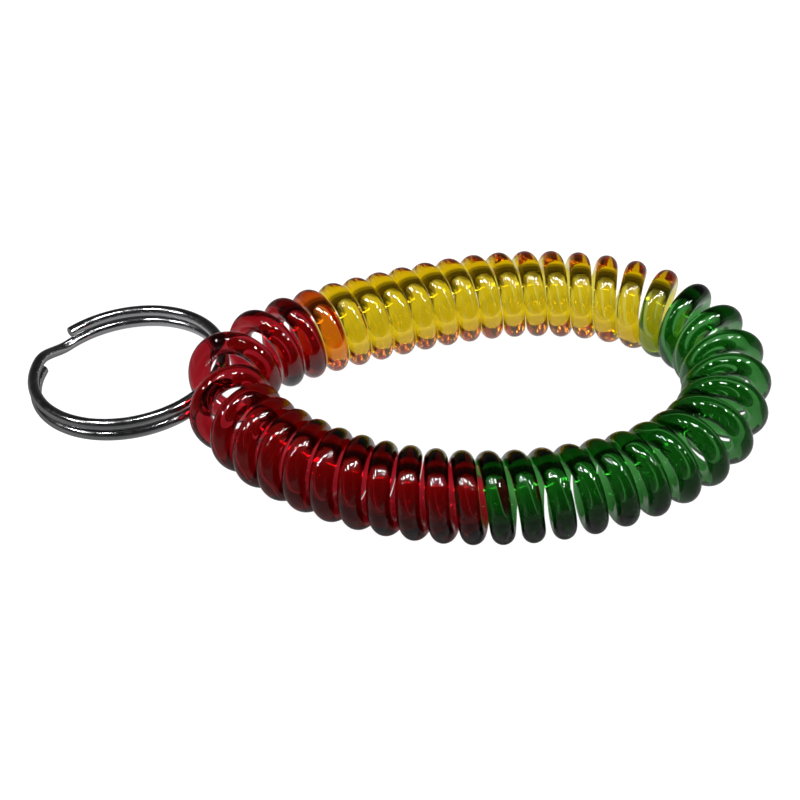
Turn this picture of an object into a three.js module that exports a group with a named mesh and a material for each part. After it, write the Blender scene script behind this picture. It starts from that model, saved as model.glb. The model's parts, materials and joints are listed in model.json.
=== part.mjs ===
// Stretchable wrist-coil key holder: one plastic rod wound into a coil and closed
// into a loop that lies flat, with a split key ring threaded round one of its turns.
// Millimetres, +Z up. The origin is at the centre of the underside of the whole object.
import * as THREE from 'three';

// The coil
const ROD_DIAMETER = 3.2;
const COIL_DIAMETER = 12.5;
const TURNS = 43;

// The loop's centre line, seen from above: an ellipse that lies a little uneven.
// Each term is [waves round the loop, cosine part, sine part] of the radius factor.
const LOOP_HALF_LENGTH = 35.5;
const LOOP_HALF_WIDTH = 20.1;
const LOOP_YAW = THREE.MathUtils.degToRad(1.5);
const LOOP_SHAPE = [[1, 0.027, -0.045], [2, -0.029, 0.041], [3, -0.043, 0.02], [4, 0.003, -0.014]];

// The turns lie side by side along the inside of the loop and fan apart outside it.
// Each term is [waves round the loop, cosine part, sine part] of the spacing factor.
const SPACING = [[1, 0.017, 0.042], [2, -0.031, 0.038]];

// The turn that holds the key ring is pulled outwards, with room for the wire in front of it
const HELD_TURN = 31;
const HELD_TURN_PULL = 0.52;
const HELD_TURN_REACH = 0.8;
const WIRE_ROOM = 0.15;
const WIRE_ROOM_MIDDLE = 30.4;

// The split ring: round wire in two layers, with a jog from the upper to the lower one.
// Angles are degrees travelled along the wire from its upper end.
const WIRE_DIAMETER = 1.6;
const RING_RADIUS = 13.5;
const LAYER_SPACING = 1.8;
const WIRE_START = 135;
const JOG_START = 327;
const JOG_END = 357;
const WIRE_LENGTH = 690;
const LIFTING_LENGTH = 120;
const RING_CENTRE = new THREE.Vector3(-49.9, 5.85, 4);
const RING_TILT_X = -0.085;
const RING_TILT_Y = -0.109;

// How finely the solids are faceted, and the gap between pieces that meet end to end
const ROD_SIDES = 8;
const STEPS_PER_TURN = 14;
const WIRE_SIDES = 8;
const WIRE_STEP_ANGLE = 15;
const BUTT_GAP = 0.3;

// The rod's colour changes along its length: colour, first turn, last turn
const COLOUR_RUNS = [
  ['green', 0, 13],
  ['yellow_green', 14, 14],
  ['yellow', 15, 27],
  ['orange', 28, 28],
  ['red', 29, 42],
];
const COLOURS = {
  green: 0x0a7a1e,
  yellow_green: 0x8fb414,
  yellow: 0xe8b80c,
  orange: 0xe0660a,
  red: 0xa00808,
};

const COIL_RADIUS = COIL_DIAMETER / 2;
const WINDING_RADIUS = (COIL_DIAMETER - ROD_DIAMETER) / 2;

const wave = ([waves, cosine, sine], angle) =>
  cosine * Math.cos(waves * angle) + sine * Math.sin(waves * angle);

// The centre line of the coil at an angle round the loop
function loopPoint(angle) {
  const factor = LOOP_SHAPE.reduce((sum, term) => sum + wave(term, angle), 1);
  const point = new THREE.Vector2(LOOP_HALF_LENGTH * Math.cos(angle), LOOP_HALF_WIDTH * Math.sin(angle));
  return point.multiplyScalar(factor).rotateAround(new THREE.Vector2(), LOOP_YAW);
}

// The outward direction of the loop at an angle round it
function loopOutward(angle) {
  const ahead = loopPoint(angle + 1e-4).sub(loopPoint(angle - 1e-4)).normalize();
  return new THREE.Vector2(ahead.y, -ahead.x);
}

// Distances along the inside of the loop, from the front, at even steps of angle
const LOOP_STEPS = 720;
const loopAngle = (step) => -Math.PI / 2 + (step / LOOP_STEPS) * 2 * Math.PI;
function insideDistances() {
  const insidePoint = (step) => {
    const angle = loopAngle(step);
    return loopPoint(angle).addScaledVector(loopOutward(angle), -WINDING_RADIUS);
  };
  const distances = [0];
  for (let step = 1; step <= LOOP_STEPS; step += 1) {
    distances.push(distances[step - 1] + insidePoint(step).distanceTo(insidePoint(step - 1)));
  }
  return distances;
}
const INSIDE = insideDistances();

// The angle round the loop at a share, 0 to 1, of the distance along its inside
function angleAtShare(share) {
  const laps = Math.floor(share);
  const distance = (share - laps) * INSIDE[LOOP_STEPS];
  const next = Math.max(1, INSIDE.findIndex((value) => value >= distance));
  const step = next - 1 + (distance - INSIDE[next - 1]) / (INSIDE[next] - INSIDE[next - 1]);
  return loopAngle(step) + laps * 2 * Math.PI;
}

// How far turns counted from the front have gone, once the uneven spacing is added up
function spacedTurns(turn) {
  const opened = (value) => Math.tanh((value - WIRE_ROOM_MIDDLE) / HELD_TURN_REACH);
  const room = WIRE_ROOM * HELD_TURN_REACH * (opened(turn) - opened(0));
  const angle = (turn / TURNS) * 2 * Math.PI;
  const drift = SPACING.reduce((sum, [waves, cosine, sine]) => {
    const grown = cosine * Math.sin(waves * angle) + sine * (1 - Math.cos(waves * angle));
    return sum + (grown * TURNS) / (2 * Math.PI * waves);
  }, 0);
  return turn + room + drift;
}

// The coil's centre line and outward direction at a count of turns from the front
function coilAt(turn) {
  const laps = Math.floor(turn / TURNS);
  const angle = angleAtShare(spacedTurns(turn - laps * TURNS) / spacedTurns(TURNS));
  const outward = loopOutward(angle);
  const pull = HELD_TURN_PULL * Math.exp(-(((turn - HELD_TURN - 0.25) / HELD_TURN_REACH) ** 2));
  const point = loopPoint(angle).addScaledVector(outward, pull);
  return { centre: new THREE.Vector3(point.x, point.y, COIL_RADIUS), outward };
}

// The rod's centre line. A whole count of turns is at the top of the coil, and the
// winding is right-handed: from the top it goes down the outside of the loop.
function rodPoint(turn) {
  const { centre, outward } = coilAt(turn);
  const phase = Math.PI / 2 - 2 * Math.PI * turn;
  const reach = WINDING_RADIUS * Math.cos(phase);
  return new THREE.Vector3(
    centre.x + outward.x * reach,
    centre.y + outward.y * reach,
    centre.z + WINDING_RADIUS * Math.sin(phase),
  );
}

// A stretch of the rod, measured from a point of its own
class RodCurve extends THREE.Curve {
  constructor(firstTurn, lastTurn, origin) {
    super();
    this.firstTurn = firstTurn;
    this.lastTurn = lastTurn;
    this.origin = origin;
  }

  getPoint(share) {
    return rodPoint(THREE.MathUtils.lerp(this.firstTurn, this.lastTurn, share)).sub(this.origin);
  }
}

// A stretch of the ring's wire, in degrees travelled from its upper end
class WireCurve extends THREE.Curve {
  constructor(from, to) {
    super();
    this.from = from;
    this.to = to;
  }

  getPoint(share) {
    const travelled = THREE.MathUtils.lerp(this.from, this.to, share);
    const angle = THREE.MathUtils.degToRad(WIRE_START - travelled);
    const lowered = THREE.MathUtils.smoothstep(travelled, JOG_START, JOG_END);
    const height = LAYER_SPACING * (0.5 - lowered);
    return new THREE.Vector3(RING_RADIUS * Math.cos(angle), RING_RADIUS * Math.sin(angle), height);
  }
}

function roundSection(diameter, sides) {
  const corners = [];
  for (let side = 0; side < sides; side += 1) {
    const angle = ((side + 0.5) / sides) * 2 * Math.PI;
    corners.push(new THREE.Vector2(Math.cos(angle), Math.sin(angle)).multiplyScalar(diameter / 2));
  }
  return new THREE.Shape(corners);
}

function tubeAlong(curve, diameter, sides, steps) {
  const options = { steps, bevelEnabled: false, extrudePath: curve };
  return new THREE.ExtrudeGeometry(roundSection(diameter, sides), options);
}

// One turn of the coil, from the middle of the inside, over the top and round to it again
function coilTurn(turn, colour, material) {
  const trim = BUTT_GAP / 2 / (2 * Math.PI * WINDING_RADIUS);
  const origin = coilAt(turn + 0.25).centre;
  const curve = new RodCurve(turn - 0.25 + trim, turn + 0.75 - trim, origin);
  const mesh = new THREE.Mesh(tubeAlong(curve, ROD_DIAMETER, ROD_SIDES, STEPS_PER_TURN), material);
  mesh.name = `coil_turn_${String(turn + 1).padStart(2, '0')}_${colour}`;
  mesh.position.copy(origin);
  return mesh;
}

function coil() {
  const group = new THREE.Group();
  for (const [colour, first, last] of COLOUR_RUNS) {
    const material = new THREE.MeshStandardMaterial({ color: COLOURS[colour], roughness: 0.12, metalness: 0 });
    for (let turn = first; turn <= last; turn += 1) {
      group.add(coilTurn(turn, colour, material));
    }
  }
  return group;
}

function ringPiece(name, from, to, material) {
  const trim = THREE.MathUtils.radToDeg(BUTT_GAP / 2 / RING_RADIUS);
  const start = from === 0 ? from : from + trim;
  const end = to === WIRE_LENGTH ? to : to - trim;
  const steps = Math.round((end - start) / WIRE_STEP_ANGLE);
  const mesh = new THREE.Mesh(tubeAlong(new WireCurve(start, end), WIRE_DIAMETER, WIRE_SIDES, steps), material);
  mesh.name = name;
  return mesh;
}

// The third of a turn that springs up when something is threaded on, and the rest of the ring
function splitRing() {
  const steel = new THREE.MeshStandardMaterial({ color: 0x8a8d92, roughness: 0.2, metalness: 1 });
  const group = new THREE.Group();
  group.add(ringPiece('split_ring_lifting_end', 0, LIFTING_LENGTH, steel));
  group.add(ringPiece('split_ring_main', LIFTING_LENGTH, WIRE_LENGTH, steel));
  group.position.copy(RING_CENTRE);
  group.rotation.set(RING_TILT_X, RING_TILT_Y, 0, 'YXZ');
  return group;
}

const object = new THREE.Group();
object.add(coil(), splitRing());
object.updateMatrixWorld(true);
const box = new THREE.Box3().setFromObject(object, true);
object.position.set(-(box.min.x + box.max.x) / 2, -(box.min.y + box.max.y) / 2, -box.min.z);

export default object;
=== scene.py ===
"""Wrist-coil key holder: a clear rod wound into a closed coil, with a steel split ring."""

import cmath
import json
import math

import bpy
from mathutils import Euler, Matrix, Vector


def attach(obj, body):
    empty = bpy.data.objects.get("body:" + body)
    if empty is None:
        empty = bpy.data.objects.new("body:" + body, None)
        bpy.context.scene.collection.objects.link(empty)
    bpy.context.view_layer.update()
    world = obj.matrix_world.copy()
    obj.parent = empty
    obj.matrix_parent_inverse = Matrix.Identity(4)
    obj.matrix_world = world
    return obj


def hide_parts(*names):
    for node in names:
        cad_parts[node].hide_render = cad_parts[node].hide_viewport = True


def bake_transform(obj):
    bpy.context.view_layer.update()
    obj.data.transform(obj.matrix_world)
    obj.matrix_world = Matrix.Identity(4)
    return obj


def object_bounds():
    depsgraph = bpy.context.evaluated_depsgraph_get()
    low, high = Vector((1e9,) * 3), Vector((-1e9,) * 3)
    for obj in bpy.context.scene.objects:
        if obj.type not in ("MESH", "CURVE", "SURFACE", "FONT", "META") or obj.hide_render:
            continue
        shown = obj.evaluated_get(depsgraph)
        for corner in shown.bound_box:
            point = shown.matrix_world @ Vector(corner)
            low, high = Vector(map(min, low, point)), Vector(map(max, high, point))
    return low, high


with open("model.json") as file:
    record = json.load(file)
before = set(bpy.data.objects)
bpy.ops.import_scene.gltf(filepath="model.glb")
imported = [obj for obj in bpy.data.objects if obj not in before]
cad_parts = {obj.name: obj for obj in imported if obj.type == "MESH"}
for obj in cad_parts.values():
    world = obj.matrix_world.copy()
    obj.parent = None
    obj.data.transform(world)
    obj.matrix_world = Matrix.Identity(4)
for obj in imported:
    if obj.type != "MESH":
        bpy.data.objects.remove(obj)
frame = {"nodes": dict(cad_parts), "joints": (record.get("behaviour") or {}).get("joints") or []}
cad_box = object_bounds()

# ---- Driving dimensions of the coil, in metres, as in the CAD model ----
MM = 0.001
ROD_DIAMETER = 3.2 * MM
COIL_DIAMETER = 12.5 * MM
TURNS = 43
LOOP_HALF_LENGTH = 35.5 * MM
LOOP_HALF_WIDTH = 20.1 * MM
LOOP_YAW = math.radians(1.5)
# [waves round the loop, cosine part, sine part] of the radius and of the spacing
LOOP_SHAPE = [(1, 0.027, -0.045), (2, -0.029, 0.041), (3, -0.043, 0.02), (4, 0.003, -0.014)]
SPACING = [(1, 0.017, 0.042), (2, -0.031, 0.038)]
HELD_TURN = 31
HELD_TURN_PULL = 0.52 * MM
HELD_TURN_REACH = 0.8
WIRE_ROOM = 0.15
WIRE_ROOM_MIDDLE = 30.4

# ---- Driving dimensions of the split ring ----
WIRE_DIAMETER = 1.6 * MM
RING_RADIUS = 13.5 * MM
LAYER_SPACING = 1.8 * MM
WIRE_START = 135.0
JOG_START = 327.0
JOG_END = 357.0
WIRE_LENGTH = 690.0
LIFTING_LENGTH = 120.0
RING_CENTRE = Vector((-49.9, 5.85, 4.0)) * MM
RING_TILT = Euler((-0.085, -0.109, 0.0), "YXZ").to_matrix()
# Degrees of wire that bend to each side of the place where the upper end lifts
BEND_REACH = 12.0
CUT_CHAMFER = 0.12 * MM

# ---- Where the colour changes along the rod, in turns from the front ----
GREEN_END = 13.4
YELLOW_START = 14.3
YELLOW_END = 27.4
ORANGE_MIDDLE = 27.75
RED_START = 28.35
# Up to here a piece gets the plastic that holds the change of colour
YELLOW_GREEN_PIECES_END = 14.5
ORANGE_PIECES_END = 28.5

# ---- The clear plastic ----
PLASTIC_ROUGHNESS = 0.01
PLASTIC_IOR = 1.5
RIPPLE_SIZE = 2.5 * MM
RIPPLE_DEPTH = 0.003 * MM
# Red, green and blue light absorbed per millimetre
GREEN = (0.85, 0.35, 0.85)
YELLOW = (0.008, 0.058, 0.75)
RED = (0.25, 1.4, 1.2)
# What is left of the light at the start and in the middle of the orange
FIRST_ORANGE = (1, 0.8, 0.9)
FULL_ORANGE = (1, 0.37, 0.3)

# ---- The ring's steel ----
STEEL_COLOUR = (0.42, 0.42, 0.43)
SHINIEST = 0.1
DULLEST = 0.24
DULL_PATCH = 1.2 * MM
SCRATCH_SIZE = 0.25 * MM
SCRATCH_DEPTH = 0.0015 * MM
FINE_DETAIL = 6.0
SCRATCH_DETAIL = 4.0

# ---- The studio ----
FLOOR_SIZE = 3.0
FLOOR_GAP = 0.1 * MM
FLOOR_SHADE = 0.1
# Painted light: the floor's emission is a pool of glow round the loop that lights the coil from below,
# fading to FAR_GLOW; camera rays see the evenly white BACKDROP_GLOW
FLOOR_GLOW = 0.5
BACKDROP_GLOW = 1.0
FAR_GLOW = 0.02
# The painted pool of glow on the floor fades out between these shares of the loop's half sizes
GLOW_POOL_SHARE = 0.9
GLOW_POOL_END_SHARE = 1.6
GLOW_POOL_SHIFT = 12 * MM
HORIZON_LIGHT = 0.06
CEILING_LIGHT = 0.02
CEILING_START = 0.7
LAMPS = 5
LAMP_SPACING = 0.3
LAMP_Y = -0.07
LAMP_HEIGHT = 0.5
LAMP_LENGTH = 0.15
LAMP_WIDTH = 0.045
LAMP_POWER = 1.6

# ---- The camera, with VIEW_WIDTH filling the picture at its target ----
CAMERA_ELEVATION = math.radians(42)
CAMERA_DISTANCE = 289.3 * MM
CAMERA_TARGET = Vector((-11.45, -2.88, 6.25)) * MM
VIEW_WIDTH = 110.5 * MM

# ---- How finely the visible pieces are made ----
ROD_SIDES = 40
STEPS_PER_TURN = 96
WIRE_SIDES = 32
WIRE_STEP = 2.0
END_GAP = 0.01 * MM

COIL_RADIUS = COIL_DIAMETER / 2
WINDING_RADIUS = (COIL_DIAMETER - ROD_DIAMETER) / 2
END_TRIM = END_GAP / 2 / (2 * math.pi * WINDING_RADIUS)
LOOP_STEPS = 720


def wave(term, angle):
    """One term of an uneven round shape at an angle."""
    waves, cosine, sine = term
    return cosine * math.cos(waves * angle) + sine * math.sin(waves * angle)


def loop_point(angle):
    """The coil's centre line at an angle round the loop, as the complex number x + yi."""
    factor = 1 + sum(wave(term, angle) for term in LOOP_SHAPE)
    point = complex(LOOP_HALF_LENGTH * math.cos(angle), LOOP_HALF_WIDTH * math.sin(angle))
    return point * factor * cmath.rect(1, LOOP_YAW)


def loop_outward(angle):
    """The direction out of the loop at an angle round it, as a complex number of length 1."""
    ahead = loop_point(angle + 1e-4) - loop_point(angle - 1e-4)
    return -1j * ahead / abs(ahead)


def loop_angle(step):
    return -math.pi / 2 + step / LOOP_STEPS * 2 * math.pi


def inside_distances():
    """Distances along the inside of the loop, from the front, at even steps of angle."""
    def inside_point(step):
        angle = loop_angle(step)
        return loop_point(angle) - loop_outward(angle) * WINDING_RADIUS
    distances = [0.0]
    for step in range(1, LOOP_STEPS + 1):
        distances.append(distances[-1] + abs(inside_point(step) - inside_point(step - 1)))
    return distances


INSIDE = inside_distances()


def angle_at_share(share):
    """The angle round the loop at a share of the distance along its inside."""
    laps = math.floor(share)
    distance = (share - laps) * INSIDE[LOOP_STEPS]
    step = next((i for i in range(1, LOOP_STEPS + 1) if INSIDE[i] >= distance), LOOP_STEPS)
    step = step - 1 + (distance - INSIDE[step - 1]) / (INSIDE[step] - INSIDE[step - 1])
    return loop_angle(step) + laps * 2 * math.pi


def spaced_turns(turn):
    """How far turns counted from the front have gone, with the uneven spacing added up."""
    def opened(value):
        return math.tanh((value - WIRE_ROOM_MIDDLE) / HELD_TURN_REACH)
    room = WIRE_ROOM * HELD_TURN_REACH * (opened(turn) - opened(0))
    angle = turn / TURNS * 2 * math.pi
    drift = 0.0
    for waves, cosine, sine in SPACING:
        grown = cosine * math.sin(waves * angle) + sine * (1 - math.cos(waves * angle))
        drift += grown * TURNS / (2 * math.pi * waves)
    return turn + room + drift


ALL_TURNS = spaced_turns(TURNS)


def coil_at(turn):
    """The coil's centre and outward direction at a count of turns from the front."""
    laps = math.floor(turn / TURNS)
    angle = angle_at_share(spaced_turns(turn - laps * TURNS) / ALL_TURNS)
    outward = loop_outward(angle)
    pull = HELD_TURN_PULL * math.exp(-((turn - HELD_TURN - 0.25) / HELD_TURN_REACH) ** 2)
    point = loop_point(angle) + outward * pull
    return Vector((point.real, point.imag, COIL_RADIUS)), Vector((outward.real, outward.imag, 0))


# The ring swings about the centre of the turn that holds it, which places the loop in the frame
swing = next(joint for joint in frame["joints"] if joint["name"] == "ring_swing")
OFFSET = Vector(swing["pos_m"]) - coil_at(HELD_TURN + 0.25)[0]


def rod_at(turn):
    """The rod's centre line and the direction away from the coil's centre, in the frame."""
    centre, outward = coil_at(turn)
    phase = math.pi / 2 - 2 * math.pi * turn
    away = outward * math.cos(phase) + Vector((0, 0, math.sin(phase)))
    return centre + OFFSET + away * WINDING_RADIUS, away


def wire_at(travelled):
    """The ring's wire at degrees travelled from its upper end, and the way out of the ring."""
    angle = math.radians(WIRE_START - travelled)
    share = min(max((travelled - JOG_START) / (JOG_END - JOG_START), 0), 1)
    lowered = share * share * (3 - 2 * share)
    away = Vector((math.cos(angle), math.sin(angle), 0))
    point = away * RING_RADIUS + Vector((0, 0, LAYER_SPACING * (0.5 - lowered)))
    return RING_TILT @ point + RING_CENTRE + OFFSET, RING_TILT @ away


def even_stations(start, end, steps, radius):
    """Places along a tube at even steps, with its radius there: [(t, radius), ...]."""
    return [(start + (end - start) * index / steps, radius) for index in range(steps + 1)]


def tube(name, line, stations, sides):
    """A closed round tube along line(t), which gives a point and a direction across it.

    Its faces hold rod_end, 1 on the flat ends, and its points hold turns, their t.
    """
    nudge = (stations[-1][0] - stations[0][0]) / len(stations)
    vertices, normals = [], []
    for t, radius in stations:
        point, away = line(t)
        along = (line(t + nudge)[0] - line(t - nudge)[0]).normalized()
        across = (away - along * away.dot(along)).normalized()
        side = along.cross(across)
        for corner in range(sides):
            angle = corner / sides * 2 * math.pi
            normal = across * math.cos(angle) + side * math.sin(angle)
            normals.append(normal)
            vertices.append(point + normal * radius)
    faces = []
    for row in range(len(stations) - 1):
        for corner in range(sides):
            a, b = row * sides + corner, row * sides + (corner + 1) % sides
            faces.append((a, b, b + sides, a + sides))
    walls = len(faces)
    last_row = (len(stations) - 1) * sides
    faces.append(tuple(range(sides - 1, -1, -1)))
    faces.append(tuple(range(last_row, last_row + sides)))
    mesh = bpy.data.meshes.new(name)
    mesh.from_pydata(vertices, [], faces)
    for polygon in mesh.polygons:
        polygon.use_smooth = polygon.index < walls
    loops = []
    for polygon in mesh.polygons:
        for vertex in polygon.vertices:
            loops.append(normals[vertex] if polygon.index < walls else polygon.normal.copy())
    mesh.normals_split_custom_set(loops)
    ends = mesh.attributes.new("rod_end", "FLOAT", "FACE")
    ends.data.foreach_set("value", [float(index >= walls) for index in range(len(faces))])
    turns = mesh.attributes.new("turns", "FLOAT", "POINT")
    turns.data.foreach_set("value", [t for t, radius in stations for _ in range(sides)])
    piece = bpy.data.objects.new(name, mesh)
    bpy.context.collection.objects.link(piece)
    return piece


def link(material, source, target):
    material.node_tree.links.new(source, target)


def add_node(material, kind, **settings):
    node = material.node_tree.nodes.new(kind)
    for name, value in settings.items():
        setattr(node, name, value)
    return node


def new_material(name):
    material = bpy.data.materials.new(name)
    material.use_nodes = True
    return material, material.node_tree.nodes["Principled BSDF"]


def noise(material, feature, detail=2.0):
    """Three-dimensional noise with features of this size."""
    place = add_node(material, "ShaderNodeTexCoord")
    texture = add_node(material, "ShaderNodeTexNoise")
    texture.inputs["Scale"].default_value = 1 / feature
    texture.inputs["Detail"].default_value = detail
    link(material, place.outputs["Object"], texture.inputs["Vector"])
    return texture.outputs["Fac"]


def uneven(material, shader, feature, depth, detail=2.0):
    """Gives the surface shallow waves of this size and depth."""
    bump = add_node(material, "ShaderNodeBump")
    bump.inputs["Strength"].default_value = 1.0
    bump.inputs["Distance"].default_value = depth
    link(material, noise(material, feature, detail), bump.inputs["Height"])
    link(material, bump.outputs["Normal"], shader.inputs["Normal"])


def tint_along_rod(material, shader, rod_end, tints):
    """Tints the wall of the rod by its place along it: [(turn, colour), ...]."""
    first, last = tints[0][0], tints[-1][0]
    turns = add_node(material, "ShaderNodeAttribute", attribute_name="turns")
    share = add_node(material, "ShaderNodeMapRange")
    share.inputs["From Min"].default_value = first
    share.inputs["From Max"].default_value = last
    ramp = add_node(material, "ShaderNodeValToRGB")
    stops = ramp.color_ramp.elements
    while len(stops) < len(tints):
        stops.new(0.5)
    for stop, (turn, colour) in zip(stops, tints):
        stop.position = (turn - first) / (last - first)
        stop.color = (*colour, 1)
    clear_ends = add_node(material, "ShaderNodeMix", data_type="RGBA")
    clear_ends.inputs["B"].default_value = (1, 1, 1, 1)
    link(material, turns.outputs["Fac"], share.inputs["Value"])
    link(material, share.outputs["Result"], ramp.inputs["Fac"])
    link(material, rod_end, clear_ends.inputs["Factor"])
    link(material, ramp.outputs["Color"], clear_ends.inputs["A"])
    link(material, clear_ends.outputs["Result"], shader.inputs["Base Color"])


def clear_plastic(name, absorbed, tints=None):
    """Glossy clear plastic that absorbs this much red, green and blue light per millimetre."""
    material, shader = new_material(name)
    shader.inputs["Base Color"].default_value = (1, 1, 1, 1)
    shader.inputs["Transmission Weight"].default_value = 1
    shader.inputs["Roughness"].default_value = PLASTIC_ROUGHNESS
    shader.inputs["IOR"].default_value = PLASTIC_IOR
    most = max(absorbed)
    volume = add_node(material, "ShaderNodeVolumeAbsorption")
    volume.inputs["Color"].default_value = (*(1 - share / most for share in absorbed), 1)
    volume.inputs["Density"].default_value = most / MM
    link(material, volume.outputs["Volume"], material.node_tree.nodes["Material Output"].inputs["Volume"])

    # Light doesn't bend where one length of the rod goes on into the next
    rod_end = add_node(material, "ShaderNodeAttribute", attribute_name="rod_end").outputs["Fac"]
    ior = add_node(material, "ShaderNodeMapRange")
    ior.inputs["To Min"].default_value = PLASTIC_IOR
    ior.inputs["To Max"].default_value = 1.0
    link(material, rod_end, ior.inputs["Value"])
    link(material, ior.outputs["Result"], shader.inputs["IOR"])
    uneven(material, shader, RIPPLE_SIZE, RIPPLE_DEPTH)
    if tints:
        tint_along_rod(material, shader, rod_end, tints)
    return material


def over_yellow(absorbed):
    """The tint that makes a rod of yellow plastic as dark as one that absorbs this."""
    depth = ROD_DIAMETER / MM
    return tuple(math.exp((yellow - own) * depth) for yellow, own in zip(YELLOW, absorbed))


PLASTICS = {
    "green": clear_plastic("coil_green_plastic", GREEN),
    "yellow_green": clear_plastic(
        "coil_yellow_green_plastic",
        YELLOW,
        [(GREEN_END, over_yellow(GREEN)), (YELLOW_START, (1, 1, 1))],
    ),
    "yellow": clear_plastic("coil_yellow_plastic", YELLOW),
    "orange": clear_plastic(
        "coil_orange_plastic",
        YELLOW,
        [(YELLOW_END, FIRST_ORANGE), (ORANGE_MIDDLE, FULL_ORANGE), (RED_START, over_yellow(RED))],
    ),
    "red": clear_plastic("coil_red_plastic", RED),
}


def steel():
    """Nickel-plated wire with faint scratches and a slightly uneven shine."""
    material, shader = new_material("ring_steel")
    shader.inputs["Base Color"].default_value = (*STEEL_COLOUR, 1)
    shader.inputs["Metallic"].default_value = 1
    dull = add_node(material, "ShaderNodeMapRange")
    dull.inputs["From Min"].default_value = 0.35
    dull.inputs["From Max"].default_value = 0.7
    dull.inputs["To Min"].default_value = SHINIEST
    dull.inputs["To Max"].default_value = DULLEST
    link(material, noise(material, DULL_PATCH, FINE_DETAIL), dull.inputs["Value"])
    link(material, dull.outputs["Result"], shader.inputs["Roughness"])
    uneven(material, shader, SCRATCH_SIZE, SCRATCH_DEPTH, SCRATCH_DETAIL)
    return material


STEEL = steel()
NODES_BY_TURN = sorted(name for name in frame["nodes"] if name.startswith("coil_turn"))


def colour_at(turn):
    """The plastic of the half turn of rod that starts here."""
    middle = turn + 0.25
    if middle < GREEN_END:
        return "green"
    if middle < YELLOW_GREEN_PIECES_END:
        return "yellow_green"
    if middle < YELLOW_END:
        return "yellow"
    return "orange" if middle < ORANGE_PIECES_END else "red"


def body_of(turn):
    """The body that carries a turn, counted from 0."""
    return f"turn_{turn % TURNS + 1:02d}"


def rod_piece(name, start, end):
    """A length of the rod, in turns, in the plastic of its place."""
    steps = round((end - start) * STEPS_PER_TURN)
    stations = even_stations(start + END_TRIM, end - END_TRIM, steps, ROD_DIAMETER / 2)
    piece = tube(name, rod_at, stations, ROD_SIDES)
    colour = colour_at(start)
    piece.data.materials.append(PLASTICS[colour])
    return piece


def coil():
    """Outer halves ride on their turns, and inner halves between two turns are baked in place on their
    own.
    """
    for turn in range(TURNS):
        label = f"{turn + 1:02d}"
        outer = rod_piece(f"outer_half_{label}", turn, turn + 0.5)
        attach(outer, body_of(turn))
        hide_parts(NODES_BY_TURN[turn])
        if turn < TURNS - 1:
            inner = rod_piece(f"inner_half_{label}", turn + 0.5, turn + 1)
            middle = (rod_at(turn + 0.5)[0] + rod_at(turn + 1)[0]) / 2
            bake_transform(inner)


def weld():
    """The rod's two ends, joined where red meets green."""
    middle = TURNS - 0.25
    red = rod_piece("weld_quarter_red", middle - 0.25, middle)
    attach(red, body_of(TURNS - 1))
    green = rod_piece("weld_quarter_green", middle - TURNS, middle - TURNS + 0.25)
    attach(green, body_of(0))


def wire_stations(start, end, cut_start, cut_end):
    """Places along the ring's wire, with a small chamfer at each cut end."""
    radius = WIRE_DIAMETER / 2
    bevel = math.degrees(CUT_CHAMFER / RING_RADIUS)
    stations = even_stations(start, end, round((end - start) / WIRE_STEP), radius)
    if cut_start:
        stations[:1] = [(start, radius - CUT_CHAMFER), (start + bevel, radius)]
    if cut_end:
        stations[-1:] = [(end - bevel, radius), (end, radius - CUT_CHAMFER)]
    return stations


def ring_piece(name, start, end):
    """A length of the ring's wire, in degrees from its upper end."""
    stations = wire_stations(start, end, start == 0, end == WIRE_LENGTH)
    piece = tube(name, wire_at, stations, WIRE_SIDES)
    piece.data.materials.append(STEEL)
    return piece


def split_ring():
    """The end that lifts, the main part, and the short length of wire between them, baked in place on its
    own.
    """
    bend_start, bend_end = LIFTING_LENGTH - BEND_REACH, LIFTING_LENGTH + BEND_REACH
    lifting = ring_piece("ring_lifting_end", 0, bend_start)
    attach(lifting, "ring_lifting_end")
    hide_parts("split_ring_lifting_end")
    main = ring_piece("ring_main", bend_end, WIRE_LENGTH)
    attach(main, "ring")
    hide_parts("split_ring_main")
    bend = ring_piece("ring_bend", bend_start, bend_end)
    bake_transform(bend)


coil()
weld()
split_ring()


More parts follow.
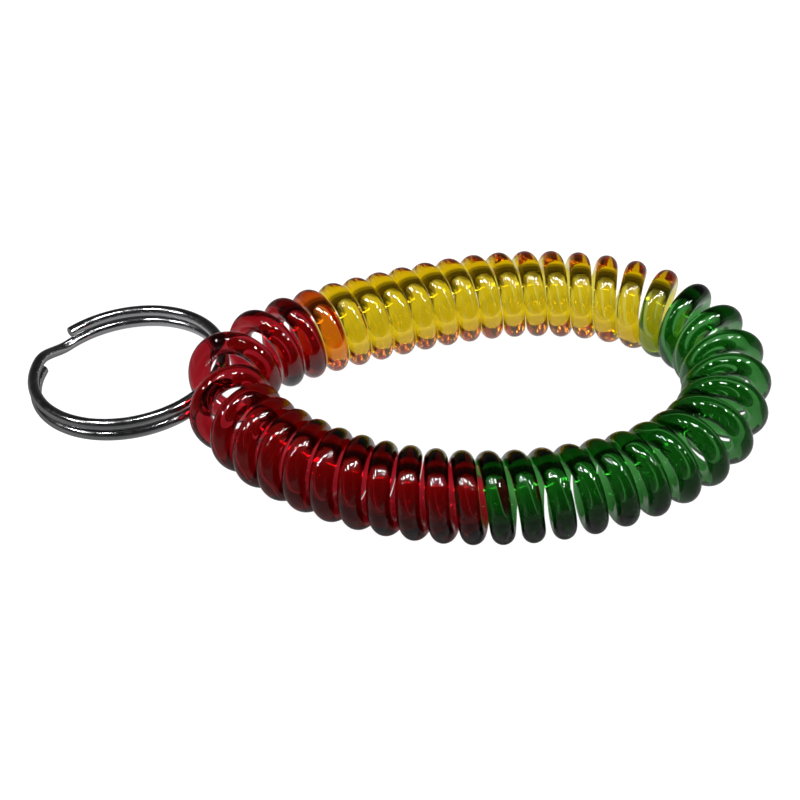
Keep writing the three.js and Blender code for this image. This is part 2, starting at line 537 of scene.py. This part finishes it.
def floor():
    """A table that looks evenly white to the camera, and whose painted glow lights the coil only from
    inside and under the loop.
    """
    middle = (OFFSET.x, OFFSET.y + GLOW_POOL_SHIFT, cad_box[0][2] - FLOOR_GAP)
    bpy.ops.mesh.primitive_plane_add(size=FLOOR_SIZE, location=middle)
    plane = bpy.context.object
    plane.name = "floor"
    material, shader = new_material("floor")
    shader.inputs["Base Color"].default_value = (FLOOR_SHADE, FLOOR_SHADE, FLOOR_SHADE, 1)
    shader.inputs["Roughness"].default_value = 0.6
    shader.inputs["Emission Color"].default_value = (1, 1, 1, 1)
    place = add_node(material, "ShaderNodeTexCoord")
    half_sizes = (LOOP_HALF_LENGTH + COIL_RADIUS, LOOP_HALF_WIDTH + COIL_RADIUS, 1)
    share = add_node(material, "ShaderNodeVectorMath", operation="DIVIDE")
    share.inputs[1].default_value = half_sizes
    distance = add_node(material, "ShaderNodeVectorMath", operation="LENGTH")
    # Painted pool of light: the floor's glow is strongest inside and under the loop and fades out away
    # from it
    light = add_node(material, "ShaderNodeMapRange", interpolation_type="SMOOTHSTEP")
    light.inputs["From Min"].default_value = GLOW_POOL_SHARE
    light.inputs["From Max"].default_value = GLOW_POOL_END_SHARE
    light.inputs["To Min"].default_value = FLOOR_GLOW
    light.inputs["To Max"].default_value = FAR_GLOW
    link(material, place.outputs["Object"], share.inputs[0])
    link(material, share.outputs["Vector"], distance.inputs[0])
    link(material, distance.outputs["Value"], light.inputs["Value"])
    path = add_node(material, "ShaderNodeLightPath")
    glow = add_node(material, "ShaderNodeMapRange")
    glow.inputs["To Max"].default_value = BACKDROP_GLOW
    link(material, light.outputs["Result"], glow.inputs["To Min"])
    link(material, path.outputs["Is Camera Ray"], glow.inputs["Value"])
    link(material, glow.outputs["Result"], shader.inputs["Emission Strength"])
    plane.data.materials.append(material)


def lamp(name, place):
    """A lamp that faces the middle of the frame."""
    data = bpy.data.lights.new(name, "AREA")
    data.shape = "RECTANGLE"
    data.size = LAMP_LENGTH
    data.size_y = LAMP_WIDTH
    data.energy = LAMP_POWER
    light = bpy.data.objects.new(name, data)
    bpy.context.collection.objects.link(light)
    light.location = place
    light.rotation_euler = (-Vector(place)).to_track_quat("-Z", "Y").to_euler()


def studio():
    """A row of lamps over the object, in a room that is dark above and paler round the sides."""
    scene = bpy.context.scene
    scene.world = bpy.data.worlds.new("studio")
    scene.world.use_nodes = True
    sky = scene.world.node_tree
    direction = sky.nodes.new("ShaderNodeTexCoord")
    height = sky.nodes.new("ShaderNodeSeparateXYZ")
    strength = sky.nodes.new("ShaderNodeMapRange")
    strength.inputs["To Min"].default_value = HORIZON_LIGHT
    strength.inputs["To Max"].default_value = CEILING_LIGHT
    strength.interpolation_type = "SMOOTHSTEP"
    strength.inputs["From Max"].default_value = CEILING_START
    sky.links.new(direction.outputs["Generated"], height.inputs["Vector"])
    sky.links.new(height.outputs["Z"], strength.inputs["Value"])
    sky.links.new(strength.outputs["Result"], sky.nodes["Background"].inputs["Strength"])
    sky.nodes["Background"].inputs["Color"].default_value = (1, 1, 1, 1)
    for number in range(LAMPS):
        place = ((number - (LAMPS - 1) / 2) * LAMP_SPACING, LAMP_Y, LAMP_HEIGHT)
        lamp(f"lamp_{number + 1}", place)
    scene.view_settings.view_transform = "Standard"
    # Light goes through many turns of the coil, and is reflected inside them
    scene.cycles.max_bounces = 48
    scene.cycles.glossy_bounces = 32
    scene.cycles.transmission_bounces = 48


def camera():
    """Looks at the target from the front, with VIEW_WIDTH filling the picture there."""
    back = Vector((0, -math.cos(CAMERA_ELEVATION), math.sin(CAMERA_ELEVATION)))
    data = bpy.data.cameras.new("camera")
    data.lens = data.sensor_width * CAMERA_DISTANCE / VIEW_WIDTH
    data.clip_start = 10 * MM
    view = bpy.data.objects.new("camera", data)
    bpy.context.collection.objects.link(view)
    view.location = CAMERA_TARGET + OFFSET + back * CAMERA_DISTANCE
    view.rotation_euler = (-back).to_track_quat("-Z", "Y").to_euler()
    bpy.context.scene.camera = view


floor()
studio()
camera()
